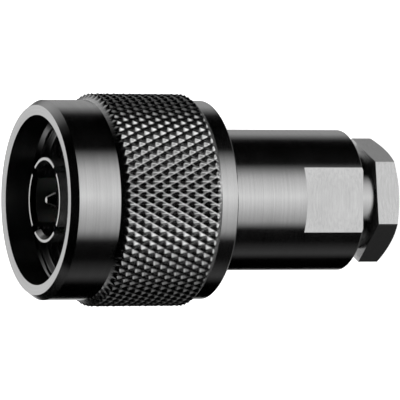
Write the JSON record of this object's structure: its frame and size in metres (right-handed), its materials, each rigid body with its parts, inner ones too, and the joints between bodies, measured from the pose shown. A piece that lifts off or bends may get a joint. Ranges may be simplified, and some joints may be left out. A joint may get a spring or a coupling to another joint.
{
  "type": "n connector plug",
  "caption": "Coaxial plug of the screw coupling pattern: knurled coupling nut, body with wrench flats, slotted outer contact, centre pin and a hexagon clamp nut for the cable.",
  "frame": {"origin": "centre of the clamp nut's rear face, which the plug stands on", "axes": "+Z along the plug's axis towards the mating end, Y square to the body's wrench flats"},
  "size_m": [0.0204, 0.0204, 0.0358],
  "materials": {
    "nut_plating": "turned brass with a satin nickel plate",
    "body_plating": "turned brass with a satin nickel plate",
    "clamp_nut_plating": "milled brass with a satin nickel plate",
    "contact_plating": "spring bronze with a bright plate",
    "pin_plating": "brass with a polished silver plate",
    "spring_bronze": "plain spring bronze wire",
    "gasket_rubber": "moulded silicone rubber",
    "insulator": "turned fluoropolymer"
  },
  "bodies": {
    "clamp_nut": {"clamp_nut": "clamp_nut_plating"},
    "pressure_washer": {"pressure_washer": "body_plating"},
    "connector_body": {"connector_body": "body_plating", "snap_ring": "spring_bronze", "outer_contact": "contact_plating", "front_gasket": "gasket_rubber", "front_insulator": "insulator", "centre_contact": "pin_plating", "rear_insulator": "insulator", "braid_clamp": "body_plating", "cable_gasket": "gasket_rubber"},
    "coupling_nut": {"coupling_nut": "nut_plating"}
  },
  "joints": [
    {"name": "clamp_nut_turn", "type": "hinge", "parent": "clamp_nut", "child": "pressure_washer", "pos_m": [0, 0, 0.0098], "axis": [0, 0, 1], "range_deg": [0, 1800]},
    {"name": "clamp_nut_travel", "type": "slide", "parent": "pressure_washer", "child": "connector_body", "axis": [0, 0, 1], "range_m": [0, 0.00375]},
    {"name": "coupling_nut_spin", "type": "hinge", "parent": "connector_body", "child": "coupling_nut", "pos_m": [0, 0, 0.0209], "axis": [0, 0, 1], "continuous": true}
  ],
  "couplings": [
    {"joint": "clamp_nut_turn", "follows": "clamp_nut_travel", "rad_per_m": 8377.6}
  ]
}
